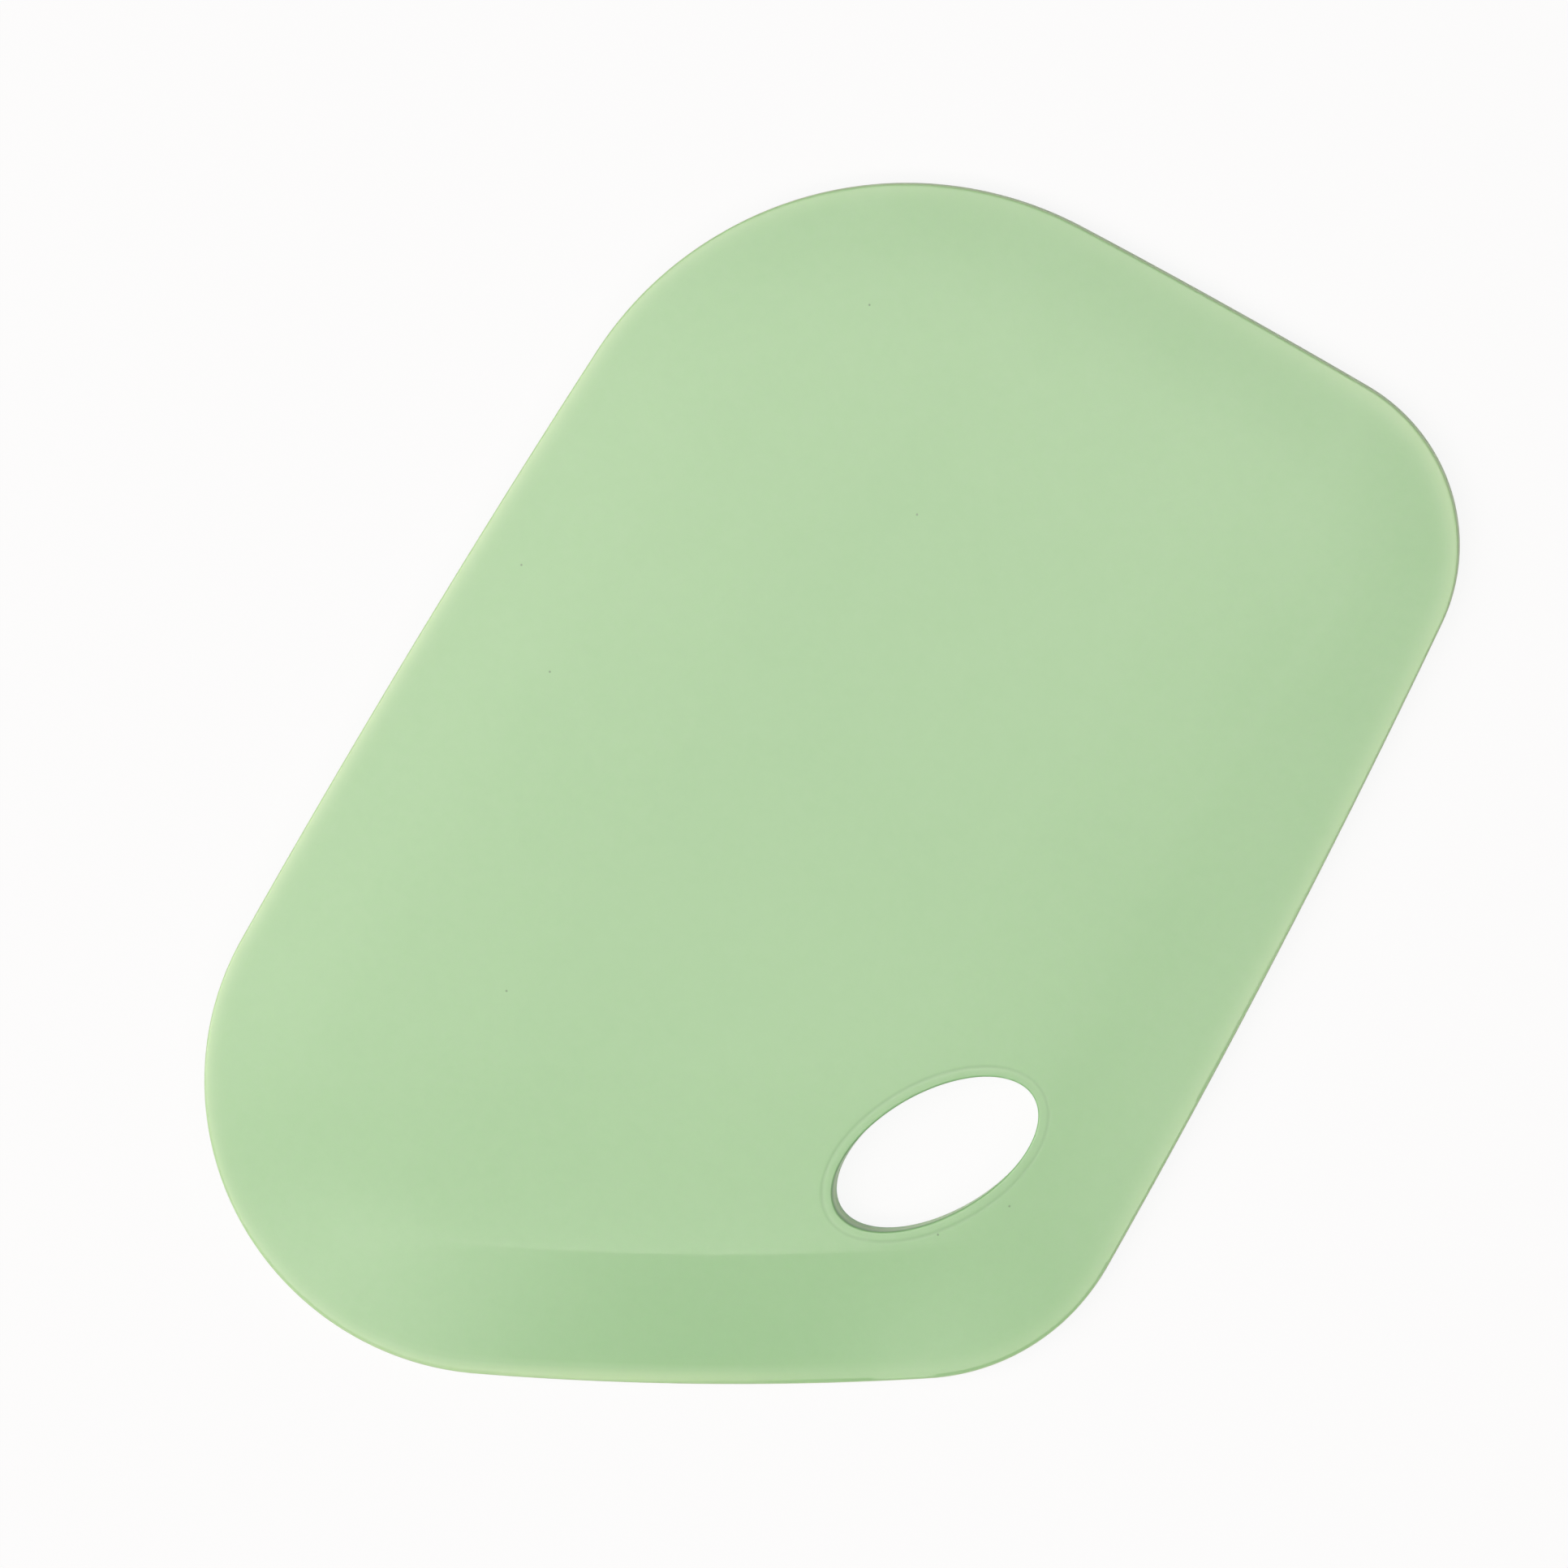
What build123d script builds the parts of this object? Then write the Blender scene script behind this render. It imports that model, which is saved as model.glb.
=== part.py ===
from build123d import *
import os
from math import cos, radians, sin, sqrt

# Bowl scraper, lying on its back: a silicone plate in two bonded skins around a stiff core plate.
# Millimetres and degrees. +Z is up out of the front face, +Y points to the square end, and the origin is
# under the middle of the plan's own box, on the surface that the back face rests on.

os.makedirs("parts", exist_ok=True)

# Plan: the lengths run between the corners before rounding, and each lean is measured from +Y. The blade
# and the left side run on to where they meet, at the heel
end_width = 93.1
right_side_length = 114.1
right_side_lean = 1.0
left_side_lean = 2.95
blade_slope = 25.45

# How far each side of the plan bows out
end_bow = 1.2
right_side_bow = 1.4
blade_bow = 4.7
left_side_bow = 2.55

# Corner rounds of the plan
end_left_round = 42.0
end_right_round = 20.5
hole_corner_round = 25.2
heel_round = 32.9

# Section: a flat middle, a bevel that falls to the lip, and the rounded lip
plate_thickness = 5.0
lip_thickness = 2.0
lip_round_share = 0.45
side_bevel = 11.0
blade_bevel = 15.2

# Oval finger hole, its rounded rim and the groove round it. The two clearances keep the groove on the flat
# middle, and run to where the fold of the right side or of the blade bows out furthest
hole_length = 25.9
hole_width = 13.7
hole_tilt = 59.0
hole_rim_round = 0.4
groove_past_rim = 0.55
groove_width = 0.5
groove_depth = 0.15
groove_to_side_fold = 2.35
groove_to_blade_fold = 2.65

# Core plate, its locking holes and the pegs of silicone that fill them
core_thickness = 1.6
core_past_fold = 2.0
core_round_hole = 1.5
core_fit = 0.1
lock_diameter = 8.0
lock_pitch_across = 22.0
lock_pitch_along = 26.0
lock_rise = 3.0
lock_web = 1.0
lock_columns = 3
lock_rows = 4

parting_height = plate_thickness / 2
lip_top = parting_height + lip_thickness / 2
lip_round = lip_round_share * lip_thickness / 2
core_bottom = parting_height - core_thickness / 2
groove_from_hole = hole_rim_round + groove_past_rim

# One entry per side or corner, clockwise from the left corner of the square end
bows = [end_bow, right_side_bow, blade_bow, left_side_bow]
rounds = [end_left_round, end_right_round, hole_corner_round, heel_round]
bevels = [side_bevel, side_bevel, blade_bevel, side_bevel]
sides = range(len(bows))


def heading(angle):
    """The unit vector at an angle in degrees from +X."""
    return Vector(cos(radians(angle)), sin(radians(angle)))


def left_of(run):
    """A vector turned a quarter turn to the left, which points out of the plan from a side's run."""
    return Vector(-run.Y, run.X)


def crossing(start, run, other_start, other_run):
    """Where the line from start along run meets the other line."""
    return start + run * ((other_start - start).cross(other_run).Z / run.cross(other_run).Z)


end_run = heading(0)
right_run = heading(right_side_lean - 90)
blade_run = heading(blade_slope + 180)
left_run = heading(-left_side_lean - 90)


def plan_corners():
    """The four corners before rounding, with the first at the origin."""
    end_left = Vector(0, 0)
    end_right = end_left + end_run * end_width
    hole_corner = end_right + right_run * right_side_length
    heel = crossing(end_left, left_run, hole_corner, blade_run)
    return [end_left, end_right, hole_corner, heel]


def side_circle(start, end, bow, inset):
    """Centre and radius of a side's arc, which bows out to the left of the run and is moved in by inset."""
    run = end - start
    radius = (run.length**2 / 4 + bow**2) / (2 * bow)
    return (start + end) / 2 + left_of(run).normalized() * (bow - radius), radius - inset


def meeting_point(first, second, near):
    """Where two circles cross, at the crossing nearer to a point."""
    (centre, radius), (other_centre, other_radius) = first, second
    line = other_centre - centre
    along = (radius**2 - other_radius**2 + line.length**2) / (2 * line.length)
    across = sqrt(radius**2 - along**2)
    base = centre + line.normalized() * along
    normal = left_of(line).normalized()
    crossings = [base + normal * across, base - normal * across]
    return min(crossings, key=lambda point: (point - near).length)


def draw_plan(height, corners, insets):
    """Sketches the plan at that height, each side moved in by its inset and the corners rounded to suit."""
    circles = [side_circle(corners[i - 1], corners[i], bows[i - 1], insets[i - 1]) for i in sides]
    points = [meeting_point(circles[i], circles[(i + 1) % len(circles)], corners[i]) for i in sides]
    with BuildSketch(Plane.XY.offset(height)) as sketch:
        with BuildLine():
            for i in sides:
                RadiusArc(points[i - 1], points[i], circles[i][1])
        make_face()
        for i in sides:
            inset = (insets[i - 1] + insets[i]) / 2
            fillet(sketch.vertices().sort_by_distance(points[i])[0], rounds[i] - inset)
    return sketch.sketch


no_insets = [0 for bevel in bevels]
core_insets = [bevel - core_past_fold for bevel in bevels]
seat_insets = [inset - core_fit for inset in core_insets]

first_corners = plan_corners()
plan_centre = draw_plan(0, first_corners, no_insets).bounding_box().center()
corners = [corner - plan_centre for corner in first_corners]


def groove_reach(run):
    """How far the groove's outer oval reaches from the hole's centre, square to a side's run."""
    margin = groove_from_hole + groove_width
    half_length, half_width = hole_length / 2 + margin, hole_width / 2 + margin
    out, along = left_of(run), heading(hole_tilt)
    return sqrt((half_length * out.dot(along)) ** 2 + (half_width * out.dot(left_of(along))) ** 2)


# The hole's centre lies where two lines cross, each parallel to a side and as far in as the groove needs
from_side = side_bevel - right_side_bow + groove_to_side_fold + groove_reach(right_run)
from_blade = blade_bevel - blade_bow + groove_to_blade_fold + groove_reach(blade_run)
beside_side = corners[2] - left_of(right_run) * from_side
beside_blade = corners[2] - left_of(blade_run) * from_blade
hole_centre = crossing(beside_side, right_run, beside_blade, blade_run)


def clear_of_hole(spot):
    """Whether a locking hole there leaves its web of core between it and the core's oval."""
    margin = core_round_hole + lock_web + lock_diameter / 2
    along = (spot - hole_centre).dot(heading(hole_tilt)) / (hole_length / 2 + margin)
    across = (spot - hole_centre).dot(left_of(heading(hole_tilt))) / (hole_width / 2 + margin)
    return along**2 + across**2 > 1


lock_grid = GridLocations(lock_pitch_across, lock_pitch_along, lock_columns, lock_rows)
lock_spots = [Vector(0, lock_rise) + spot.position for spot in lock_grid]
lock_spots = [spot for spot in lock_spots if clear_of_hole(spot)]


def draw_oval(height, margin):
    """Sketches the finger hole's oval at that height, larger by the margin all round."""
    with BuildSketch(Plane.XY.offset(height)) as sketch:
        with Locations(Location(hole_centre, hole_tilt)):
            Ellipse(hole_length / 2 + margin, hole_width / 2 + margin)
    return sketch.sketch


def draw_ring(height, margin, width):
    """Sketches a ring of that width round the finger hole, which starts the margin out from its wall."""
    with BuildSketch(Plane.XY.offset(height)) as sketch:
        add(draw_oval(height, margin + width))
        add(draw_oval(height, margin), mode=Mode.SUBTRACT)
    return sketch.sketch


def draw_locks(height, diameter):
    """Sketches the round locking holes, or the pegs that fill them, at that height."""
    with BuildSketch(Plane.XY.offset(height)) as sketch:
        with Locations(*lock_spots):
            Circle(diameter / 2)
    return sketch.sketch


# Space that the core takes up in one skin: it leaves a collar round the finger hole, and pegs that fill
# the core's locking holes
with BuildPart() as core_seat:
    extrude(draw_plan(parting_height, corners, seat_insets), amount=core_thickness / 2)
    collar = draw_oval(parting_height, core_round_hole - core_fit)
    extrude(collar, amount=core_thickness / 2, mode=Mode.SUBTRACT)
    pegs = draw_locks(parting_height, lock_diameter - 2 * core_fit)
    extrude(pegs, amount=core_thickness / 2, mode=Mode.SUBTRACT)

# Front skin: the upper half of the silicone body
with BuildPart() as front_skin:
    extrude(draw_plan(parting_height, corners, no_insets), amount=lip_thickness / 2)
    loft([draw_plan(lip_top, corners, no_insets), draw_plan(plate_thickness, corners, bevels)], ruled=True)
    fillet(front_skin.edges().filter_by_position(Axis.Z, lip_top, lip_top), lip_round)

    # finger hole, its rounded rim and the groove round it
    extrude(draw_oval(parting_height, 0), amount=plate_thickness, mode=Mode.SUBTRACT)
    rim = front_skin.faces().sort_by(Axis.Z)[-1].inner_wires()[0].edges()
    fillet(rim, hole_rim_round)
    groove = draw_ring(plate_thickness, groove_from_hole, groove_width)
    extrude(groove, amount=-groove_depth, mode=Mode.SUBTRACT)

    # seat for the core
    add(core_seat.part, mode=Mode.SUBTRACT)
front_skin.part.label = "front_skin"
export_step(front_skin.part, "parts/front_skin.step")

# Back skin: the lower half, the mirror image of the front one in the parting plane
with BuildPart() as back_skin:
    mirror(front_skin.part, about=Plane.XY.offset(parting_height))
back_skin.part.label = "back_skin"
export_step(back_skin.part, "parts/back_skin.step")

# Core plate: stiffens the middle, stops short of the lip and the finger hole
with BuildPart() as stiffening_core:
    extrude(draw_plan(core_bottom, corners, core_insets), amount=core_thickness)
    extrude(draw_oval(core_bottom, core_round_hole), amount=core_thickness, mode=Mode.SUBTRACT)
    extrude(draw_locks(core_bottom, lock_diameter), amount=core_thickness, mode=Mode.SUBTRACT)
stiffening_core.part.label = "stiffening_core"
export_step(stiffening_core.part, "parts/stiffening_core.step")
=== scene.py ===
import math
import bpy
import numpy as np
from mathutils import Matrix, Vector


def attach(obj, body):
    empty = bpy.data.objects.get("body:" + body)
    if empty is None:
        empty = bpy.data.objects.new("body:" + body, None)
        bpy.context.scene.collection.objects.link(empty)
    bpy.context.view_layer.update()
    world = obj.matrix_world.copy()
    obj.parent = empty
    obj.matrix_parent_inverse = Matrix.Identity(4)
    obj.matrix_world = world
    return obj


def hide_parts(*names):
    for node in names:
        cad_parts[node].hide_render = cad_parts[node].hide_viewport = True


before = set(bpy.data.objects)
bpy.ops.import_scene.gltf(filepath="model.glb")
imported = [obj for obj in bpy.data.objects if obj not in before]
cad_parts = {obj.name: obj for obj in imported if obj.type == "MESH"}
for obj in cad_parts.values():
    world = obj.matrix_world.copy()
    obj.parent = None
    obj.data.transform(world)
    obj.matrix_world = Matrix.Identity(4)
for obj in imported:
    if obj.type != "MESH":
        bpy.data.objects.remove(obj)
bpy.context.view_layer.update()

# Lengths are in millimetres and angles in degrees until a mesh, lamp or camera is made
MM = 0.001

# Plan, clockwise from the left corner of the square end
END_WIDTH = 93.1
RIGHT_SIDE_LENGTH = 114.1
RIGHT_SIDE_LEAN = 1.0
LEFT_SIDE_LEAN = 2.95
BLADE_SLOPE = 25.45
BOWS = (1.2, 1.4, 4.7, 2.55)
ROUNDS = (42.0, 20.5, 25.2, 32.9)
BEVELS = (11.0, 11.0, 15.2, 11.0)
BLADE_SIDE = 2
SIDES = len(BOWS)
RUNS = 2 * SIDES

# Spacing of the outline's points, how many on either side soften a change along it, and how many each run
# gets before its length is known
POINT_SPACING = 0.55
SMOOTHING_POINTS = 24
FIRST_POINTS = 400

# Section of one skin, from the seam half way up. The lip's round is never more than a share of its rise
SEAM_HEIGHT = 2.5
TOP_HEIGHT = 5.0
LIP_ROUND = 0.22
LIP_ROUND_SHARE = 0.6
CROWN_DROP = 0.35
CROWN_REACH = 22.0
SEAM_NOTCH_DEPTH = 0.03
SEAM_NOTCH_HEIGHT = 0.04
NOTCH_TOP = SEAM_HEIGHT + SEAM_NOTCH_HEIGHT

# Fold between band and middle: soft, or crisp with a crease along the blade. The change between them takes
# these shares of the corners before and after the blade. The slopes are those that meet at the fold: the
# least change that is rounded, and the share of the way to the hole over which the middle's is taken
SOFT_FOLD_HALF_WIDTH = 4.5
CRISP_FOLD_HALF_WIDTH = 0.12
SOFTENS_BEFORE = 0.55
SOFTENS_AFTER = 0.45
CREASE_DEPTH = 0.006
CREASE_HALF_WIDTH = 0.3
LEAST_SLOPE = 0.01
SLOPE_STEP = 0.002

# Finger hole and the groove round it, by how far out from the hole's wall they lie
HOLE_HALF_LENGTH = 12.95
HOLE_HALF_WIDTH = 6.85
HOLE_TILT = 59.0
HOLE_CENTRE = np.array([28.686, -24.647])
RIM_ROUND = 0.25
# How much painted shade the hole's rim and the top of its wall get
RIM_SHADE = 1.0
GROOVE_MIDDLE = 1.2
GROOVE_HALF_WIDTH = 0.35
GROOVE_DEPTH = 0.015

# Seat of the core inside the skins, and the pegs that fill its locking holes
SEAT_HEIGHT = 0.8
SEAT_PAST_FOLD = 2.1
COLLAR_WIDTH = 1.4
PEG_RADIUS = 3.9
PEG_ROOT = 0.2
PEG_SIDES = 32
PEG_COLUMNS = (-22.0, 0.0, 22.0)
PEG_ROWS = (-36.0, -10.0, 16.0, 42.0)
PEG_LEFT_OUT = (22.0, -36.0)
PEG_SPOTS = [(x, y) for x in PEG_COLUMNS for y in PEG_ROWS if (x, y) != PEG_LEFT_OUT]

# Where the section's rings lie: degrees round a rounded edge, shares of the band and of the groove's half
# width, millimetres before and past the fold, and shares of the hole's wall
ROUND_ANGLES = (0, 12, 24, 36, 48, 60, 72, 82)
BAND_SHARES = (0.0, 0.02, 0.05, 0.09, 0.14, 0.2, 0.28, 0.37, 0.46, 0.55, 0.64, 0.73, 0.81, 0.88, 0.93, 0.965)
BEFORE_FOLD = (0.3, 0.15, 0.0)
PAST_FOLD = (
    0.15, 0.3, 0.6, 1.1, 1.8, 2.7, 3.8, 5.1, 6.8, 8.8, 11.2, 14,
    17.5, 21.5, 26, 32, 39, 47, 56, 66, 77, 89, 102, 116,
)
BEFORE_GROOVE = (0.3, 0.8, 1.6, 3.0, 5.5, 9.0, 14.0)
GROOVE_SHARES = (1.0, 0.75, 0.5, 0.25, 0.0, -0.25, -0.5, -0.75, -1.0)
WALL_SHARES = (1.0, 0.66, 0.33, 0.0)
FAR_FROM_EDGE = 50.0
SHARP_ANGLE = 50


def heading(angle):
    """Unit vector at an angle from +X."""
    return np.array([math.cos(math.radians(angle)), math.sin(math.radians(angle))])


def left_of(vector):
    return np.array([-vector[1], vector[0]])


def cross(a, b):
    return a[..., 0] * b[..., 1] - a[..., 1] * b[..., 0]


def plan_corners():
    """The four corners before rounding, with the first at the origin."""
    end_left = np.zeros(2)
    end_right = end_left + heading(0) * END_WIDTH
    hole_corner = end_right + heading(RIGHT_SIDE_LEAN - 90) * RIGHT_SIDE_LENGTH
    left_run, blade_run = heading(-LEFT_SIDE_LEAN - 90), heading(BLADE_SLOPE + 180)
    heel = end_left + left_run * cross(hole_corner - end_left, blade_run) / cross(left_run, blade_run)
    return np.array([end_left, end_right, hole_corner, heel])


def side_circles(corners, insets):
    """Centre and radius of each side's arc, moved in by its inset."""
    circles = []
    for i in range(SIDES):
        start, end = corners[i], corners[(i + 1) % SIDES]
        run = end - start
        length = np.hypot(*run)
        radius = (length**2 / 4 + BOWS[i] ** 2) / (2 * BOWS[i])
        middle = (start + end) / 2
        circles.append((middle + left_of(run / length) * (BOWS[i] - radius), radius - insets[i]))
    return circles


def meeting_point(first, second, near):
    """Where two circles cross, at the crossing nearer to a point."""
    (centre, radius), (other_centre, other_radius) = first, second
    line = other_centre - centre
    length = np.hypot(*line)
    along = (radius**2 - other_radius**2 + length**2) / (2 * length)
    across = math.sqrt(radius**2 - along**2)
    base = centre + line / length * along
    normal = left_of(line / length)
    crossings = [base + normal * across, base - normal * across]
    return min(crossings, key=lambda point: np.hypot(*(point - near)))


def corner_rounds(corners, insets):
    """Centre, radius and the two tangent points of each rounded corner."""
    circles = side_circles(corners, insets)
    found = []
    for i in range(SIDES):
        radius = ROUNDS[i] - (insets[i - 1] + insets[i]) / 2
        before, after = circles[i - 1], circles[i]
        centre = meeting_point((before[0], before[1] - radius), (after[0], after[1] - radius), corners[i])
        tangents = [c + (centre - c) / np.hypot(*(centre - c)) * r for c, r in (before, after)]
        found.append((centre, radius, tangents))
    return circles, found


def arc_points(centre, radius, start, end, count):
    """Points along a clockwise arc, without its end point."""
    first = math.atan2(*(start - centre)[::-1])
    last = math.atan2(*(end - centre)[::-1])
    while last > first:
        last -= 2 * math.pi
    angles = first + (last - first) * np.arange(count) / count
    return centre + radius * np.c_[np.cos(angles), np.sin(angles)]


def draw_ring(corners, insets, counts):
    """One ring of the plan, as corner, side, corner, side and so on, with a set count of points in each."""
    circles, found = corner_rounds(corners, insets)
    runs = []
    for i in range(SIDES):
        centre, radius, tangents = found[i]
        runs.append(arc_points(centre, radius, tangents[0], tangents[1], counts[2 * i]))
        next_tangent = found[(i + 1) % SIDES][2][0]
        runs.append(arc_points(circles[i][0], circles[i][1], tangents[1], next_tangent, counts[2 * i + 1]))
    return np.vstack(runs)


NO_INSETS = (0.0,) * SIDES
first_corners = plan_corners()
rough = draw_ring(first_corners, NO_INSETS, (FIRST_POINTS,) * RUNS)
corners = first_corners - (rough.min(0) + rough.max(0)) / 2

# How many points each run of the outline gets, so that they are evenly spaced
rough = draw_ring(corners, NO_INSETS, (FIRST_POINTS,) * RUNS)
lengths = np.hypot(*(np.roll(rough, -1, 0) - rough).T).reshape(RUNS, FIRST_POINTS).sum(1)
counts = tuple(int(round(length / POINT_SPACING)) for length in lengths)
count = sum(counts)
run_starts = np.cumsum((0,) + counts)

outline = draw_ring(corners, NO_INSETS, counts)
fold = draw_ring(corners, BEVELS, counts)
seat = draw_ring(corners, tuple(b - SEAT_PAST_FOLD for b in BEVELS), counts)
fold_circles, fold_corners = corner_rounds(corners, BEVELS)
band_width = np.hypot(*(fold - outline).T)


def fold_distance(points):
    """How far inside the fold each point lies, less than zero outside it."""
    distance = np.min([r - np.hypot(*(points - c).T) for c, r in fold_circles], axis=0)
    for centre, radius, (start, end) in fold_corners:
        arm = points - centre
        in_wedge = (cross(start - centre, arm) <= 0) & (cross(arm, end - centre) <= 0)
        distance = np.where(in_wedge, np.minimum(distance, radius - np.hypot(*arm.T)), distance)
    return distance


def crown_height(points):
    """Height of the gently crowned middle, which falls off towards each side."""
    fall = np.zeros(len(points))
    for centre, radius in fold_circles:
        inside = radius - np.hypot(*(points - centre).T)
        fall += np.clip(1 - inside / CROWN_REACH, 0, None) ** 2
    return TOP_HEIGHT - CROWN_DROP * fall


def around(stops):
    """Blends values given at stops round the outline, in runs of corner and side from the first corner."""
    places = np.concatenate([np.arange(n) / n + i for i, n in enumerate(counts)])
    at, *columns = zip(*stops)
    blended = [np.interp(places, at, column, period=RUNS) for column in columns]
    window = np.hanning(2 * SMOOTHING_POINTS + 3)[1:-1]
    padded = [np.concatenate([v[-SMOOTHING_POINTS:], v, v[:SMOOTHING_POINTS]]) for v in blended]
    return [np.convolve(v, window / window.sum(), "valid") for v in padded]


# Half the lip's thickness: thin along the blade, and thicker round the heel
LIP_RISES = [
    (0.0, 1.0), (4.0, 1.0), (4.7, 0.75), (5.0, 0.6), (5.3, 0.35),
    (5.7, 0.35), (6.0, 0.75), (6.5, 1.4), (7.0, 1.1), (7.5, 1.0),
]
(lip_rise,) = around(LIP_RISES)
lip_round = np.minimum(LIP_ROUND, LIP_ROUND_SHARE * lip_rise)


def softness_along_fold():
    """Half width over which the fold is rounded, and how crisp it is: one along the blade, and zero where it
    is soft."""
    index = np.arange(count)
    blade_run = 2 * BLADE_SIDE + 1
    start, end = run_starts[blade_run], run_starts[blade_run + 1]
    fade_before = SOFTENS_BEFORE * counts[blade_run - 1]
    fade_after = SOFTENS_AFTER * counts[(blade_run + 1) % RUNS]
    outside = np.maximum((start - index) / fade_before, (index - end) / fade_after)
    blend = np.clip(outside, 0, 1)
    blend = blend * blend * (3 - 2 * blend)
    return CRISP_FOLD_HALF_WIDTH + (SOFT_FOLD_HALF_WIDTH - CRISP_FOLD_HALF_WIDTH) * blend, 1 - blend


fold_softness, fold_crispness = softness_along_fold()


# Painted light in the lip's colour, standing in for light from the table coming up through the thin lip: the
# place, how strong, how wide and how sharply it ends
LIP_GLOW = [
    (0.0, 0.65, 0.9, 1.3), (0.3, 0.4, 0.9, 1.4), (0.9, 0.15, 1.4, 1.5), (1.5, 0.2, 1.8, 1.6),
    (2.0, 0.35, 1.6, 1.7), (2.4, 0.55, 1.5, 1.8), (3.0, 0.4, 1.4, 1.6), (4.0, 0.32, 1.5, 1.8),
    (4.5, 0.25, 1.7, 2.0), (5.2, 0.2, 1.9, 2.6), (5.5, 0.6, 1.6, 3.2), (5.8, 0.68, 1.5, 2.6),
    (6.0, 0.75, 1.0, 1.5), (6.4, 0.8, 0.55, 0.85), (7.0, 0.8, 0.8, 1.15), (7.5, 0.8, 0.82, 1.2),
]

# Painted light at the trimmed edge and how far it reaches in, and painted light low on the hole's wall
EDGE_GLOW = 0.9
EDGE_GLOW_WIDTH = 0.14
WALL_GLOW = 1.0

glow_strength, glow_width, glow_power = around(LIP_GLOW)
fold_height = crown_height(fold)
band_slope = (fold_height - SEAM_HEIGHT - lip_rise) / band_width
slope_step = (HOLE_CENTRE - fold) * SLOPE_STEP
crown_slope = (crown_height(fold + slope_step) - fold_height) / np.hypot(*slope_step.T)
blend_height = np.clip(band_slope - np.abs(crown_slope), LEAST_SLOPE, None) * fold_softness


def surface_height(points):
    """Height of the front face at a ring's points, one on each spoke, anywhere from the lip to the hole."""
    inside = fold_distance(points)
    from_edge = band_width + inside
    lip = 1 - np.sqrt(1 - np.clip(1 - from_edge / lip_round, 0, 1) ** 2)
    band = SEAM_HEIGHT + lip_rise - lip_round * lip + band_slope * from_edge
    crown = crown_height(points)
    overlap = np.clip(blend_height - np.abs(band - crown), 0, None)
    height = np.minimum(band, crown) - overlap**2 / (4 * blend_height)
    crease = np.clip(1 - np.abs(inside) / CREASE_HALF_WIDTH, 0, None)
    return height - CREASE_DEPTH * fold_crispness * crease**2 * (3 - 2 * crease)


def hole_ring(margin):
    """Points of the hole's oval on the spokes, larger by the margin all round."""
    arm = fold - HOLE_CENTRE
    angle = np.arctan2(arm[:, 1], arm[:, 0])
    turned = angle - math.radians(HOLE_TILT)
    along = np.cos(turned) / (HOLE_HALF_LENGTH + margin)
    across = np.sin(turned) / (HOLE_HALF_WIDTH + margin)
    return HOLE_CENTRE + np.c_[np.cos(angle), np.sin(angle)] / np.hypot(along, across)[:, None]


def ring_at(points, height):
    return np.c_[points, np.broadcast_to(height, count)]


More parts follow.
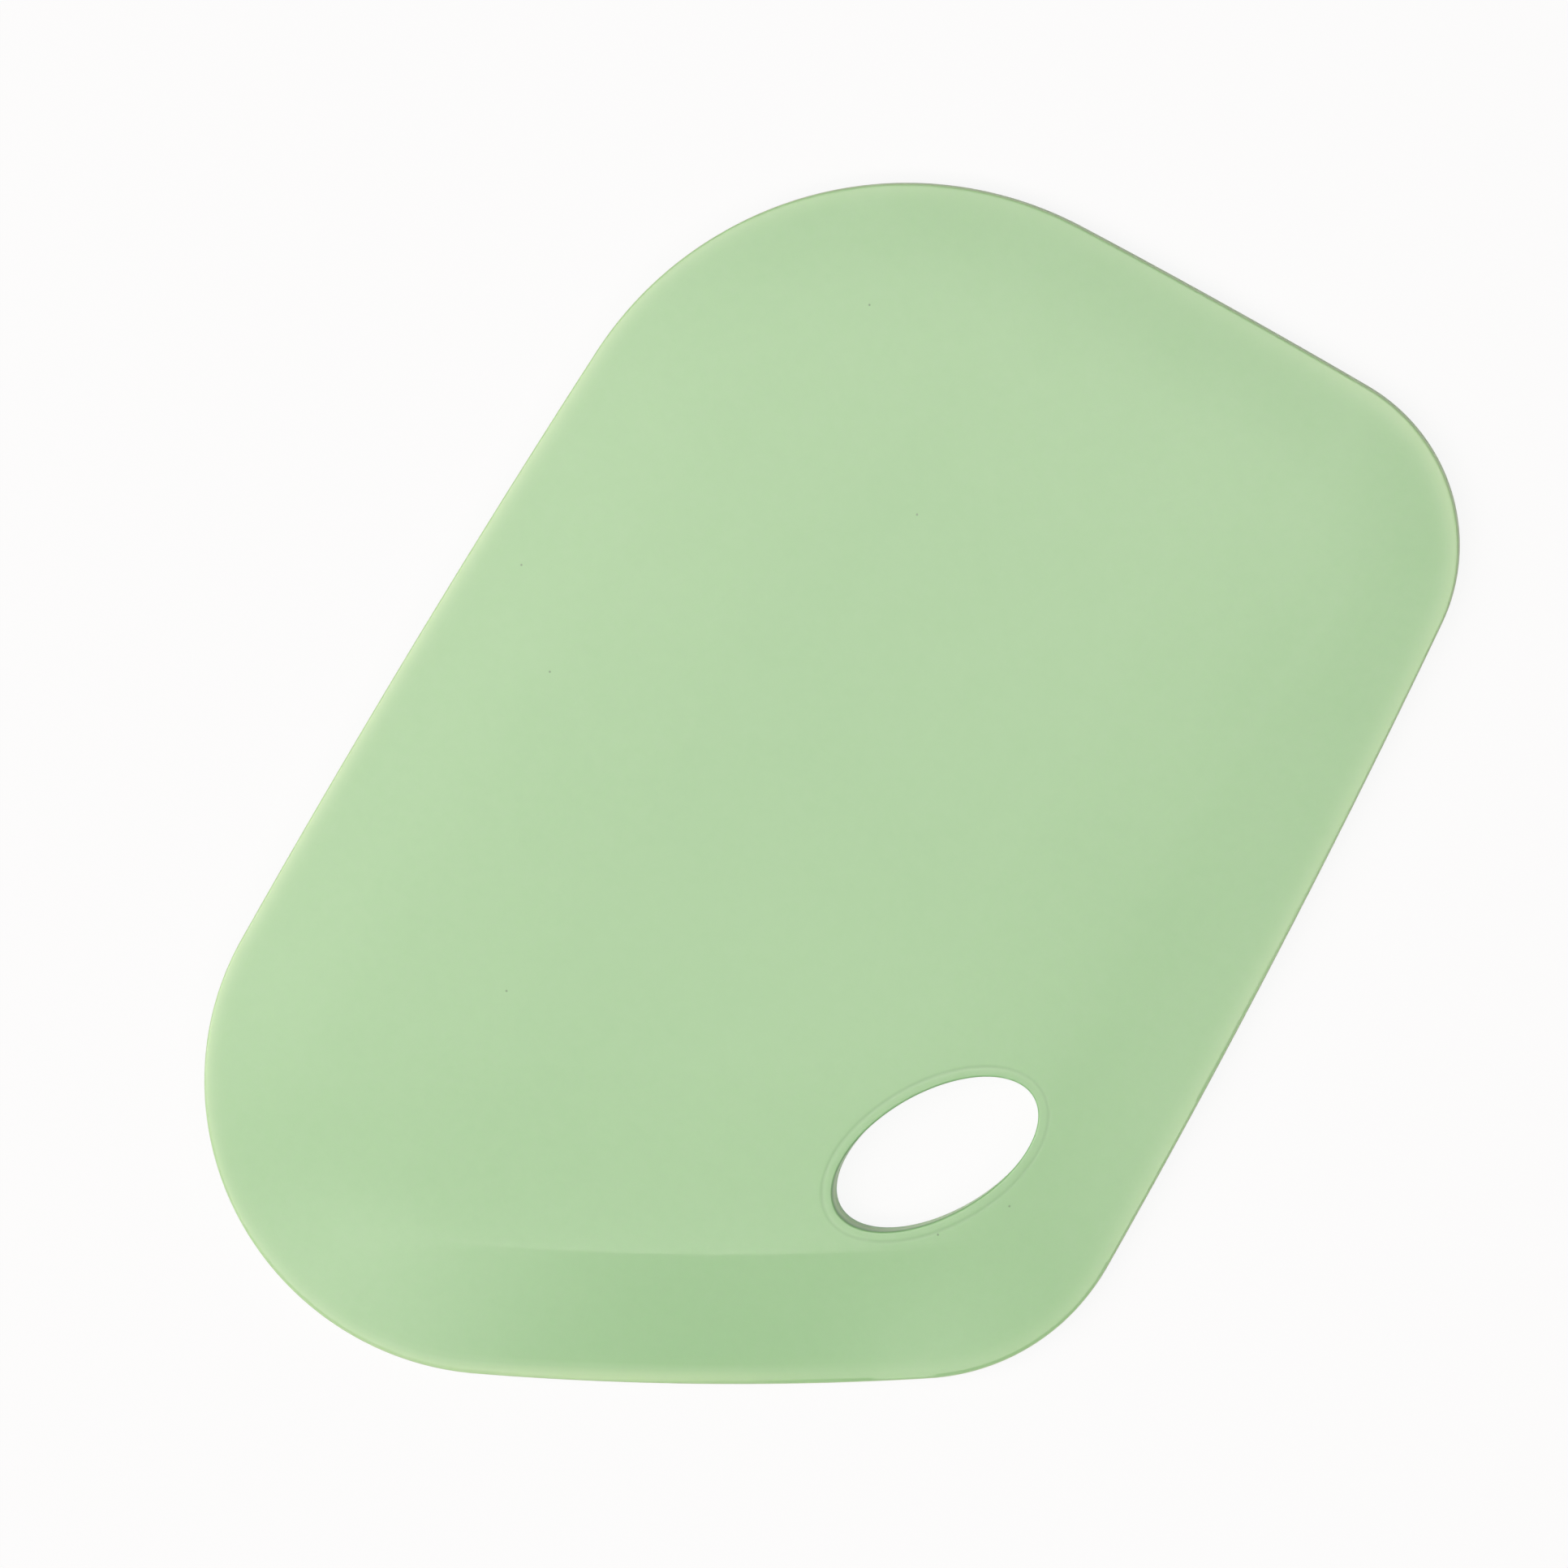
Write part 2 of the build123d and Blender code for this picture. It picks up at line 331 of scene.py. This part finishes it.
def skin_rings():
    """The front skin's rings, from the seam over the front face to the hole and back underneath, and for each
    point how much painted light it gets, how far it is on a wall and how much painted shade it gets."""
    rings, glows, walls, painted_shades = [], [], [], []

    def add(points, height, edge_distance=FAR_FROM_EDGE, wall=0.0, dip=0.0, painted_wall_light=0.0):
        rings.append(ring_at(points, height))
        # painted light: a lighter colour along the lip and at the trimmed edge, plus painted light passed in
        # for the hole's wall
        painted_table_light = glow_strength * np.exp(-((edge_distance / glow_width) ** glow_power))
        painted_edge_light = EDGE_GLOW * np.exp(-((edge_distance / EDGE_GLOW_WIDTH) ** 2))
        glows.append(np.maximum(painted_table_light, painted_edge_light) + painted_wall_light)
        walls.append(np.full(count, wall))
        painted_shades.append(np.full(count, dip))

    # seam, rounded lip and band, with painted light along the lip
    inward = (fold - outline) / band_width[:, None]
    add(outline + inward * SEAM_NOTCH_DEPTH, SEAM_HEIGHT, 0, wall=1.0)
    add(outline, NOTCH_TOP, 0, wall=1.0)
    for angle in ROUND_ANGLES:
        sideways, upward = heading(angle)
        from_edge = lip_round * (1 - sideways)
        drop = lip_round * (1 - upward)
        points = outline + inward * from_edge[:, None]
        add(points, SEAM_HEIGHT + lip_rise - drop + band_slope * from_edge, from_edge, wall=sideways)
    for share in BAND_SHARES:
        from_edge = lip_round + (band_width - lip_round) * share
        points = outline + inward * from_edge[:, None]
        add(points, surface_height(points), from_edge)
    for before_fold in BEFORE_FOLD:
        points = fold - inward * before_fold
        add(points, surface_height(points), band_width - before_fold)

    # from the fold to the groove, with close rings at both ends
    collar = hole_ring(GROOVE_MIDDLE + GROOVE_HALF_WIDTH)
    spoke = collar - fold
    reach = np.hypot(*spoke.T)
    total = len(PAST_FOLD) + len(BEFORE_GROOVE) + 1
    for n in range(1, total):
        if n <= len(PAST_FOLD):
            along = np.minimum(PAST_FOLD[n - 1], reach * n / total)
        else:
            along = reach - np.minimum(BEFORE_GROOVE[total - 1 - n], reach * (total - n) / total)
        points = fold + spoke * (along / reach)[:, None]
        add(points, surface_height(points))

    # groove, rounded rim and the hole's wall: painted shade in the groove, on the rim and high on the wall,
    # painted light low on it
    for share in GROOVE_SHARES:
        points = hole_ring(GROOVE_MIDDLE + GROOVE_HALF_WIDTH * share)
        dip = math.cos(math.pi * share / 2) ** 2
        add(points, surface_height(points) - GROOVE_DEPTH * dip, dip=dip)
    wall_top = surface_height(hole_ring(0)) - RIM_ROUND
    for angle in ROUND_ANGLES:
        upward, sideways = heading(angle)
        points = hole_ring(RIM_ROUND * (1 - sideways))
        drop = RIM_ROUND * (1 - upward)
        add(points, surface_height(points) - drop, wall=sideways, dip=RIM_SHADE * sideways)
    for share in WALL_SHARES:
        height = NOTCH_TOP + (wall_top - NOTCH_TOP) * share
        add(hole_ring(0), height, wall=1.0, dip=RIM_SHADE * share**2, painted_wall_light=WALL_GLOW * (1 - share))
    add(hole_ring(SEAM_NOTCH_DEPTH), SEAM_HEIGHT, wall=1.0, painted_wall_light=WALL_GLOW)

    # underneath: the parting face, and the seat that holds half the core's thickness
    add(hole_ring(COLLAR_WIDTH), SEAM_HEIGHT)
    add(hole_ring(COLLAR_WIDTH), SEAM_HEIGHT + SEAT_HEIGHT)
    add(seat, SEAM_HEIGHT + SEAT_HEIGHT)
    add(seat, SEAM_HEIGHT)
    return rings, glows, walls, painted_shades


def make_skin(name, node, mirrored):
    """Makes one skin as a closed ring of quads round the finger hole, with its pegs in the same mesh."""
    rings, glows, walls, painted_shades = skin_rings()
    vertices = np.vstack(rings)
    last = len(rings)
    faces = []
    for i in range(last):
        here, beyond = i * count, (i + 1) % last * count
        for j in range(count):
            k = (j + 1) % count
            faces.append((here + j, here + k, beyond + k, beyond + j))
    peg_vertices, offset = [], len(vertices)
    turns = [2 * math.pi * k / PEG_SIDES for k in range(PEG_SIDES)]
    circle = [(PEG_RADIUS * math.cos(turn), PEG_RADIUS * math.sin(turn)) for turn in turns]
    for x, y in PEG_SPOTS:
        first = offset + len(peg_vertices)
        for height in (SEAM_HEIGHT, SEAM_HEIGHT + SEAT_HEIGHT + PEG_ROOT):
            peg_vertices += [(x + dx, y + dy, height) for dx, dy in circle]
        for k in range(PEG_SIDES):
            n = (k + 1) % PEG_SIDES
            faces.append((first + k, first + n, first + PEG_SIDES + n, first + PEG_SIDES + k))
        faces.append(tuple(first + k for k in reversed(range(PEG_SIDES))))
        faces.append(tuple(first + PEG_SIDES + k for k in range(PEG_SIDES)))
    vertices = np.vstack([vertices, peg_vertices])
    if mirrored:
        vertices[:, 2] = 2 * SEAM_HEIGHT - vertices[:, 2]
        faces = [face[::-1] for face in faces]
    mesh = bpy.data.meshes.new(name)
    mesh.from_pydata((vertices * MM).tolist(), [], faces)
    mesh.validate()
    mesh.polygons.foreach_set("use_smooth", [True] * len(mesh.polygons))
    mesh.set_sharp_from_angle(angle=math.radians(SHARP_ANGLE))
    for key, values in (("glow", glows), ("wall", walls), ("dip", painted_shades)):
        attribute = mesh.attributes.new(key, "FLOAT", "POINT")
        on_rings = np.concatenate(values)
        on_pegs = np.zeros(len(peg_vertices))
        attribute.data.foreach_set("value", np.concatenate([on_rings, on_pegs]).astype(np.float32))
    mesh.update()
    skin = bpy.data.objects.new(name, mesh)
    bpy.context.scene.collection.objects.link(skin)
    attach(skin, "root")
    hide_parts(node)
    return skin


class Nodes:
    """Adds and links the shader nodes of one material or world."""

    def __init__(self, owner):
        owner.use_nodes = True
        self.tree = owner.node_tree
        self.tree.nodes.clear()

    def add(self, kind, inputs=None, **settings):
        node = self.tree.nodes.new(kind)
        for key, value in settings.items():
            setattr(node, key, value)
        for key, value in (inputs or {}).items():
            self.put(node.inputs[key], value)
        return node

    def put(self, socket, value):
        if isinstance(value, bpy.types.NodeSocket):
            self.tree.links.new(value, socket)
        else:
            socket.default_value = value

    def math(self, operation, *values, clamp=False):
        node = self.add("ShaderNodeMath", operation=operation, use_clamp=clamp)
        for i, value in enumerate(values):
            self.put(node.inputs[i], value)
        return node.outputs[0]

    def value_of(self, attribute):
        node = self.add("ShaderNodeAttribute", attribute_name=attribute, attribute_type="GEOMETRY")
        return node.outputs["Fac"]

    def noise(self, vector, scale, detail, roughness):
        inputs = {"Vector": vector, "Scale": scale, "Detail": detail, "Roughness": roughness}
        return self.add("ShaderNodeTexNoise", inputs).outputs["Fac"]

    def spread(self, value, low, high, new_low, new_high):
        inputs = {"Value": value, "From Min": low, "From Max": high, "To Min": new_low, "To Max": new_high}
        return self.add("ShaderNodeMapRange", inputs).outputs["Result"]

    def mix(self, factor, first, second):
        node = self.add("ShaderNodeMix", data_type="RGBA")
        self.put(node.inputs["Factor"], factor)
        self.put(node.inputs["A"], first)
        self.put(node.inputs["B"], second)
        return node.outputs["Result"]


# Colours are linear
SILICONE = (0.276, 0.551, 0.248, 1)
SILICONE_LIGHT = (0.294, 0.567, 0.264, 1)
# Painted light for the lip, the trimmed edge and the hole's wall
SILICONE_PAINTED_LIGHT = (0.57, 0.80, 0.46, 1)
# Painted shade for the groove and the hole's rim and wall
SILICONE_PAINTED_SHADE = (0.17, 0.37, 0.15, 1)
SPECK = (0.10, 0.17, 0.09, 1)
NYLON = (0.78, 0.75, 0.66, 1)
NYLON_LIGHT = (0.84, 0.81, 0.73, 1)

# Noise: scale, detail and roughness. The ranges are those that its values are spread from
CLOUD_NOISE = (28.0, 3.0, 0.55)
MOTTLE_NOISE = (700.0, 2.0, 0.6)
SATIN_NOISE = (160.0, 3.0, 0.6)
SCUFF_NOISE = (2400.0, 2.0, 0.7)
GRAIN_NOISE = (5200.0, 2.0, 0.5)
FLOW_NOISE = (90.0, 4.0, 0.6)
NYLON_GRAIN_NOISE = (3000.0, 2.0, 0.6)
MIDDLE_RANGE = (0.3, 0.7)
WIDE_RANGE = (0.2, 0.8)
HIGH_RANGE = (0.45, 0.7)

# Shares of cloud and mottle in the pigment, how much the mottle varies the lip's painted light, and how dark
# the painted shade in the groove and on the rim is
CLOUD_SHARE = 0.65
MOTTLE_SHARE = 0.35
LIP_VARIATION = (0.98, 1.02)
GROOVE_SHADE = 0.3

# Finish of the silicone: from the smoothest to the dullest place, what scuffs add along the lip, what the
# walls of lip and hole add, and the mould's grain
SATIN = (0.24, 0.26)
SCUFF = 0.03
WALL_DULLNESS = 0.22
GRAIN_STRENGTH = 0.25
GRAIN_DEPTH = 0.002

# Light inside the silicone: how much of it, and how far each colour goes, times the scale in millimetres
INNER_LIGHT = 0.6
INNER_REACH = (0.9, 1.0, 0.7)
INNER_SCALE = 0.6

# How the silicone's surface reflects
SILICONE_IOR = 1.5
SILICONE_SHEEN = 0.7

# Nylon of the core: its finish, its moulding grain, and how far its flow lines are drawn out along Y
NYLON_SATIN = (0.42, 0.55)
NYLON_GRAIN_STRENGTH = 0.3
NYLON_GRAIN_DEPTH = 0.03
FLOW_STRETCH = (1.0, 0.25, 1.0)
NYLON_IOR = 1.53

# Tiny dark inclusions in the silicone, seen on the front face: their radius, the shares of it at which one is
# darkest and has faded out, how dark it is, and where they lie
SPECK_RADIUS = 0.13
SPECK_CORE = 0.4
SPECK_HALO = 1.3
SPECK_STRENGTH = 0.7
SPECKS = [
    (-43.65, 11.52), (-35.13, 2.51), (-22.53, -31.72), (-22.77, 56.29),
    (33.25, -32.53), (38.8, -25.78), (-6.99, 38.13),
]


def silicone_material():
    """Green silicone: soft pigment, painted light in lip and walls, painted shade in groove and rim, small
    inclusions, satin grain.
    """
    material = bpy.data.materials.new("silicone")
    n = Nodes(material)
    place = n.add("ShaderNodeTexCoord").outputs["Object"]
    glow, wall, dip = n.value_of("glow"), n.value_of("wall"), n.value_of("dip")

    # pigment that varies softly, with fine mottling, painted shade in the groove and on the rim, and painted
    # light in the lip, the edge and the hole's wall
    cloud = n.noise(place, *CLOUD_NOISE)
    mottle = n.noise(place, *MOTTLE_NOISE)
    broad = n.spread(cloud, *MIDDLE_RANGE, 0.0, CLOUD_SHARE)
    fine = n.spread(mottle, *MIDDLE_RANGE, 0.0, MOTTLE_SHARE)
    colour = n.mix(n.math("ADD", broad, fine, clamp=True), SILICONE, SILICONE_LIGHT)
    # painted shade in the groove and on the hole's rim
    colour = n.mix(n.math("MULTIPLY", dip, GROOVE_SHADE), colour, SILICONE_PAINTED_SHADE)
    # painted light on the lip, the edge and the hole's wall
    painted_light_amount = n.math("MULTIPLY", glow, n.spread(mottle, *WIDE_RANGE, *LIP_VARIATION), clamp=True)
    colour = n.mix(painted_light_amount, colour, SILICONE_PAINTED_LIGHT)

    # dark inclusions
    core_reach, halo_reach = SPECK_RADIUS * MM * SPECK_CORE, SPECK_RADIUS * MM * SPECK_HALO
    flat = n.add("ShaderNodeVectorMath", {0: place, 1: (1, 1, 0)}, operation="MULTIPLY").outputs["Vector"]
    for x, y in SPECKS:
        inputs = {0: flat, 1: (x * MM, y * MM, 0)}
        gap = n.add("ShaderNodeVectorMath", inputs, operation="DISTANCE").outputs["Value"]
        spot = n.spread(gap, core_reach, halo_reach, SPECK_STRENGTH, 0.0)
        colour = n.mix(spot, colour, SPECK)

    # satin finish of the mould, scuffed a little along the lip and dull on the walls
    satin = n.noise(place, *SATIN_NOISE)
    scuffs = n.noise(place, *SCUFF_NOISE)
    scuffed = n.math("MULTIPLY", glow, n.spread(scuffs, *HIGH_RANGE, 0.0, SCUFF))
    roughness = n.math("ADD", n.spread(satin, *MIDDLE_RANGE, *SATIN), scuffed)
    roughness = n.math("ADD", roughness, n.math("MULTIPLY", wall, WALL_DULLNESS))
    grain = n.noise(place, *GRAIN_NOISE)
    relief = {"Height": grain, "Strength": GRAIN_STRENGTH, "Distance": GRAIN_DEPTH * MM}
    bump = n.add("ShaderNodeBump", relief)

    shader = n.add("ShaderNodeBsdfPrincipled", subsurface_method="RANDOM_WALK")
    n.put(shader.inputs["Base Color"], colour)
    n.put(shader.inputs["Roughness"], roughness)
    n.put(shader.inputs["Normal"], bump.outputs["Normal"])
    shader.inputs["IOR"].default_value = SILICONE_IOR
    shader.inputs["Specular IOR Level"].default_value = SILICONE_SHEEN
    shader.inputs["Subsurface Weight"].default_value = INNER_LIGHT
    shader.inputs["Subsurface Radius"].default_value = INNER_REACH
    shader.inputs["Subsurface Scale"].default_value = INNER_SCALE * MM
    out = n.add("ShaderNodeOutputMaterial")
    n.put(out.inputs["Surface"], shader.outputs["BSDF"])
    return material


def nylon_material():
    """Natural nylon of the core, with faint flow lines and moulding grain."""
    material = bpy.data.materials.new("core_nylon")
    n = Nodes(material)
    place = n.add("ShaderNodeTexCoord").outputs["Object"]
    stretch = {0: place, 1: FLOW_STRETCH}
    stretched = n.add("ShaderNodeVectorMath", stretch, operation="MULTIPLY").outputs["Vector"]
    flow = n.noise(stretched, *FLOW_NOISE)
    grain = n.noise(place, *NYLON_GRAIN_NOISE)
    colour = n.mix(n.spread(flow, *MIDDLE_RANGE, 0.0, 1.0), NYLON, NYLON_LIGHT)
    relief = {"Height": grain, "Strength": NYLON_GRAIN_STRENGTH, "Distance": NYLON_GRAIN_DEPTH * MM}
    bump = n.add("ShaderNodeBump", relief)
    shader = n.add("ShaderNodeBsdfPrincipled")
    n.put(shader.inputs["Base Color"], colour)
    n.put(shader.inputs["Roughness"], n.spread(grain, *MIDDLE_RANGE, *NYLON_SATIN))
    n.put(shader.inputs["Normal"], bump.outputs["Normal"])
    shader.inputs["IOR"].default_value = NYLON_IOR
    out = n.add("ShaderNodeOutputMaterial")
    n.put(out.inputs["Surface"], shader.outputs["BSDF"])
    return material


silicone = silicone_material()
front = make_skin("silicone_front", "front_skin", False)
back = make_skin("silicone_back", "back_skin", True)
for skin in (front, back):
    skin.data.materials.append(silicone)
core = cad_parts["stiffening_core"]
core.data.materials.clear()
core.data.materials.append(nylon_material())

# Camera 2 m away, leaning as the hole's wall shows
CAMERA_PLACE = (118.61, 311.24, 1974.78)
CAMERA_TARGET = (-6.077, 3.738, 2.5)
CAMERA_UP = (-0.4787, 0.8716, -0.1056)
FOCAL_PIXELS = 21940
PHOTO_PIXELS = 1932
SENSOR_WIDTH = 36

back_way = (Vector(CAMERA_PLACE) - Vector(CAMERA_TARGET)).normalized()
right_way = Vector(CAMERA_UP).cross(back_way).normalized()
up_way = back_way.cross(right_way)
camera_data = bpy.data.cameras.new("camera")
camera_data.sensor_width = SENSOR_WIDTH
camera_data.lens = FOCAL_PIXELS / PHOTO_PIXELS * SENSOR_WIDTH
camera = bpy.data.objects.new("camera", camera_data)
bpy.context.scene.collection.objects.link(camera)
camera_turn = Matrix((right_way, up_way, back_way)).transposed()
camera.matrix_world = Matrix.Translation(Vector(CAMERA_PLACE) * MM) @ camera_turn.to_4x4()
bpy.context.scene.camera = camera

# Softboxes above the table: name, how far right and up as the camera sees it for each length of height,
# width and height of the box, radiance, and colour
LAMP_HEIGHT = 1200.0
LAMP_COLOUR = (1.11, 1.0, 0.97)
FLAT_RIGHT = Vector((0.8716, 0.4787, 0))
FLAT_UP = Vector((-0.4787, 0.8716, 0))
SOFTBOXES = [
    ("key_softbox", -0.543, 0.075, 2100.0, 644.0, 3.65, LAMP_COLOUR),
    ("left_softbox", -0.379, -0.334, 740.0, 180.0, 5.69, LAMP_COLOUR),
    ("right_softbox", 0.436, -0.328, 1050.0, 468.0, 2.85, LAMP_COLOUR),
]

for name, right, up, width, height, radiance, colour in SOFTBOXES:
    place = (Vector((0, 0, 1)) + FLAT_RIGHT * right + FLAT_UP * up) * LAMP_HEIGHT * MM
    lamp_data = bpy.data.lights.new(name, "AREA")
    lamp_data.shape = "RECTANGLE"
    lamp_data.size, lamp_data.size_y = width * MM, height * MM
    lamp_data.energy = math.pi * radiance * lamp_data.size * lamp_data.size_y
    lamp_data.color = colour
    lamp = bpy.data.objects.new(name, lamp_data)
    bpy.context.scene.collection.objects.link(lamp)
    lamp_back = place.normalized()
    lamp_right = FLAT_UP.cross(lamp_back).normalized()
    turn = Matrix((lamp_right, lamp_back.cross(lamp_right), lamp_back)).transposed()
    lamp.matrix_world = Matrix.Translation(place) @ turn.to_4x4()

FILL_STRENGTH = 0.04
SURROUND_STRENGTH = 1.0


def seen_directly(n):
    """One where the camera, or a mirror or glass, sees the surface, and zero where it only lights others."""
    path = n.add("ShaderNodeLightPath").outputs
    seen = n.math("MAXIMUM", path["Is Camera Ray"], path["Is Glossy Ray"])
    return n.math("MAXIMUM", seen, path["Is Transmission Ray"])


world = bpy.data.worlds.new("studio")
bpy.context.scene.world = world
n = Nodes(world)
fill = n.add("ShaderNodeBackground", {"Color": (1, 1, 1, 1), "Strength": FILL_STRENGTH})
white = n.add("ShaderNodeBackground", {"Color": (1, 1, 1, 1), "Strength": SURROUND_STRENGTH})
either = n.add("ShaderNodeMixShader", {0: seen_directly(n), 1: fill.outputs[0], 2: white.outputs[0]})
out = n.add("ShaderNodeOutputWorld")
n.put(out.inputs["Surface"], either.outputs[0])

# White table, which shows as white and keeps a faint shadow: half its side in metres, its own colour, and how
# much of it is plain white where it is seen directly
FLOOR_HALF_SIDE = 2.0
FLOOR_COLOUR = (0.8, 0.8, 0.8, 1)
FLOOR_WHITE = 0.9
floor_mesh = bpy.data.meshes.new("floor")
corner_signs = ((-1, -1), (1, -1), (1, 1), (-1, 1))
floor_corners = [(x * FLOOR_HALF_SIDE, y * FLOOR_HALF_SIDE, 0) for x, y in corner_signs]
floor_mesh.from_pydata(floor_corners, [], [(0, 1, 2, 3)])
floor = bpy.data.objects.new("floor", floor_mesh)
bpy.context.scene.collection.objects.link(floor)
table = bpy.data.materials.new("white_table")
n = Nodes(table)
lit = n.add("ShaderNodeBsdfDiffuse", {"Color": FLOOR_COLOUR})
glow = n.add("ShaderNodeEmission", {"Color": (1, 1, 1, 1), "Strength": SURROUND_STRENGTH})
faint = n.add("ShaderNodeMixShader", {0: FLOOR_WHITE, 1: lit.outputs[0], 2: glow.outputs[0]})
either = n.add("ShaderNodeMixShader", {0: seen_directly(n), 1: lit.outputs[0], 2: faint.outputs[0]})
out = n.add("ShaderNodeOutputMaterial")
n.put(out.inputs["Surface"], either.outputs[0])
floor_mesh.materials.append(table)

bpy.context.scene.view_settings.view_transform = "Standard"
